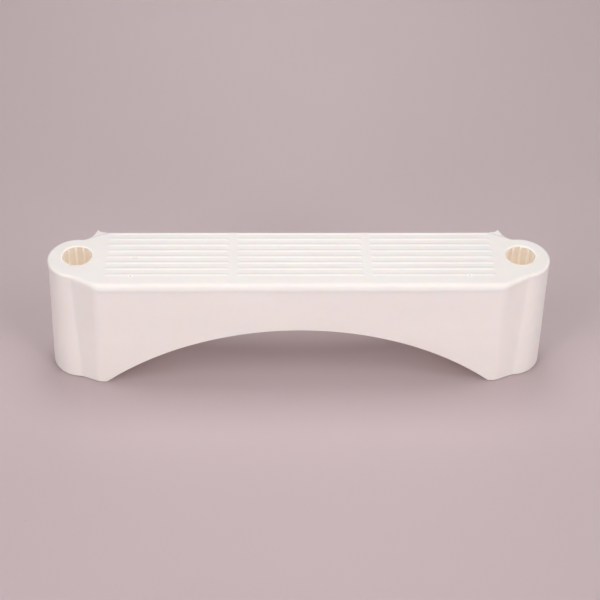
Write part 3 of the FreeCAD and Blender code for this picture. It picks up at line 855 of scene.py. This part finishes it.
def pad_rubber():
    """Dark grey moulded rubber with a fine pebble and dusty, scuffed high spots."""
    skin = Surface("pad_rubber")
    patchiness = skin.remap(skin.noise(220.0, 4.0), 0.45, 0.75, 0.0, 0.7)
    paint = skin.blend(patchiness, (0.045, 0.045, 0.047), (0.12, 0.115, 0.11))
    edge = skin.edges(RUBBER_EDGE)
    paint = skin.blend(skin.math("MULTIPLY", edge, 0.6), paint, (0.17, 0.165, 0.16))
    rough = skin.remap(skin.noise(300.0, 3.0), 0.3, 0.7, 0.7, 0.92)
    return skin.finish(paint, rough, skin.bump(skin.noise(2200.0, 2.0), 0.00008), IOR=1.52)


def screw_steel():
    """Zinc-plated steel, spotted by handling and bright on its edges."""
    skin = Surface("screw_steel")
    cloud = skin.remap(skin.noise(500.0, 4.0), 0.35, 0.65, 0.0, 1.0)
    paint = skin.blend(cloud, (0.50, 0.51, 0.52), (0.66, 0.66, 0.64))
    edge = skin.edges(STEEL_EDGE)
    paint = skin.blend(skin.math("MULTIPLY", edge, 0.6), paint, (0.82, 0.82, 0.80))
    rough = skin.remap(skin.noise(900.0, 3.0, stretch=(1, 1, 0.2)), 0.3, 0.7, 0.26, 0.44)
    return skin.finish(paint, rough, skin.bump(skin.noise(1800.0, 2.0), 0.00001), Metallic=1.0)


def backdrop_paper():
    """Matt studio paper with a faint fibre and a few specks."""
    skin = Surface("backdrop")
    cloud = skin.remap(skin.noise(3.0, 3.0), 0.3, 0.7, 0.0, 1.0)
    paint = skin.blend(cloud, tuple(c * 0.985 for c in FLOOR_COLOUR), FLOOR_COLOUR)
    speck = skin.remap(skin.noise(190.0, 1.0), 0.80, 0.84, 0.0, 0.35, smooth=True)
    paint = skin.blend(speck, paint, SPECK_COLOUR)
    rough = skin.remap(skin.noise(700.0, 2.0), 0.3, 0.7, 0.85, 0.97)
    return skin.finish(paint, rough, skin.bump(skin.noise(900.0, 3.0), 0.00006),
                       Specular_IOR_Level=0.25)


deck_plastic = moulded("deck_plastic", IVORY, IVORY_WORN, 0.54, marks=True)
body_plastic = moulded("body_plastic", IVORY, IVORY_WORN, 0.50, offset=3.0, painted_underside_shade=IVORY_PAINTED_SHADE)
panel_plastic = moulded("panel_plastic", IVORY, IVORY_WORN, 0.52, offset=7.0)
sleeve_plastic = socket_nylon()

deck_panel(deck_plastic)
body_shell(body_plastic)
rear_panel(panel_plastic)
socket_sleeve(-1, "left_socket_sleeve", sleeve_plastic)
socket_sleeve(1, "right_socket_sleeve", sleeve_plastic)

FINISHES = {"deck_panel": deck_plastic, "body_shell": body_plastic, "rear_panel": panel_plastic,
            "sleeve": sleeve_plastic, "pad": pad_rubber(), "screws": screw_steel()}
for name, node in nodes.items():
    finish = next(made for word, made in FINISHES.items() if name.endswith(word))
    node.data.materials.clear()
    node.data.materials.append(finish)

# ---------------------------------------------------------------- studio
FLOOR_HALF = 12000.0
floor_mesh = Mesh()
floor_rows = [floor_mesh.row([(x, y, 0.0) for y in (-FLOOR_HALF, FLOOR_HALF)])
              for x in (-FLOOR_HALF, FLOOR_HALF)]
floor_mesh.tower(floor_rows, closed=False)
floor = add_object("floor", floor_mesh.data("floor"))
floor.data.materials.append(backdrop_paper())


def softbox(name, place, target, width, height, power, colour=(1, 1, 1)):
    """Rectangular area light at place, turned to target and hidden from the camera."""
    light = bpy.data.lights.new(name, "AREA")
    light.shape = "RECTANGLE"
    light.size = width
    light.size_y = height
    light.energy = power
    light.color = colour
    holder = add_object(name, light)
    holder.location = place
    holder.rotation_mode = "QUATERNION"
    holder.rotation_quaternion = (Vector(target) - Vector(place)).to_track_quat("-Z", "Y")
    holder.visible_camera = False


def around(azimuth, elevation, distance):
    """Place on a dome round the object; azimuth 0 is in front of it and 90 on its right."""
    a, e = math.radians(azimuth), math.radians(elevation)
    return (distance * math.sin(a) * math.cos(e), -distance * math.cos(a) * math.cos(e),
            distance * math.sin(e))


TARGET = (0.0, 0.0, 0.05)
WARM = (1.0, 0.955, 0.945)
NEAR, MIDDLE, FAR = 1.15, 1.6, 6.0
for side, word in ((-1, "left"), (1, "right")):
    softbox("high_" + word, around(side * 45, 60, NEAR), TARGET, 0.6, 0.5, 2.1)
    softbox("middle_" + word, around(side * 35, 42, MIDDLE), TARGET, 0.7, 0.6, 1.4, WARM)
    softbox("low_" + word, around(side * 45, 12, FAR), TARGET, 2.0, 1.5, 103.0, WARM)
softbox("front_fill", around(0, 12, FAR), TARGET, 2.4, 1.8, 18.0, WARM)
softbox("right_fill", around(90, 12, FAR), TARGET, 2.4, 1.8, 18.0, WARM)
softbox("back", around(180, 35, NEAR), TARGET, 0.6, 0.5, 1.5)
softbox("overhead", (0.0, 0.28, 1.4), (0.0, 0.2, 0.0), 0.7, 0.7, 8.1)

# Two rings of lamps, turned away from the object, keep the far floor pale in low views
OUTWARD_TILT = math.radians(35)
FLOOR_RINGS = ((1.4, 1.5, 9.0), (3.4, 2.0, 34.0))      # distance, height, power
for ring, (reach, height, power) in enumerate(FLOOR_RINGS):
    for angle in range(0, 360, 60):
        a = math.radians(angle + 30)
        lamp = Vector((reach * math.sin(a), -reach * math.cos(a), height))
        aim = Vector((math.sin(a), -math.cos(a), -math.tan(OUTWARD_TILT)))
        softbox("floor_%d_%d" % (ring, angle), lamp, lamp + aim, 0.9, 0.6, power)

# Pale all round at the horizon and dim above, so that the far floor doesn't fall into the dark
HORIZON_GLOW, ZENITH_GLOW, GLOW_TOP = 0.42, 0.06, 0.4
world = bpy.data.worlds.new("studio")
bpy.context.scene.world = world
world.use_nodes = True
sky = world.node_tree
upward = sky.nodes.new("ShaderNodeSeparateXYZ")
sky.links.new(sky.nodes.new("ShaderNodeTexCoord").outputs["Generated"], upward.inputs["Vector"])
glow = sky.nodes.new("ShaderNodeMapRange")
glow.interpolation_type = "SMOOTHSTEP"
glow.inputs["From Max"].default_value = GLOW_TOP
glow.inputs["To Min"].default_value = HORIZON_GLOW
glow.inputs["To Max"].default_value = ZENITH_GLOW
sky.links.new(upward.outputs["Z"], glow.inputs["Value"])
background = sky.nodes["Background"].inputs
background["Color"].default_value = (1, 0.93, 0.94, 1)
sky.links.new(glow.outputs["Result"], background["Strength"])

# ---------------------------------------------------------------- camera
PITCH, YAW, ROLL = (math.radians(a) for a in (41.521, 2.508, -1.553))
CAMERA_PLACE = (-0.048725, -1.139990, 1.088008)
LENS, SENSOR = 89.459, 36.0
forward = Vector((math.sin(YAW) * math.cos(PITCH), math.cos(YAW) * math.cos(PITCH),
                  -math.sin(PITCH)))
level = Vector((math.cos(YAW), -math.sin(YAW), 0))
down = forward.cross(level)
across = math.cos(ROLL) * level + math.sin(ROLL) * down
below = -math.sin(ROLL) * level + math.cos(ROLL) * down
camera_data = bpy.data.cameras.new("camera")
camera_data.lens = LENS
camera_data.sensor_width = SENSOR
camera = add_object("camera", camera_data)
turn = Matrix((across, -below, -forward)).transposed().to_4x4()
camera.matrix_world = Matrix.Translation(CAMERA_PLACE) @ turn
bpy.context.scene.camera = camera
bpy.context.scene.view_settings.view_transform = "Standard"
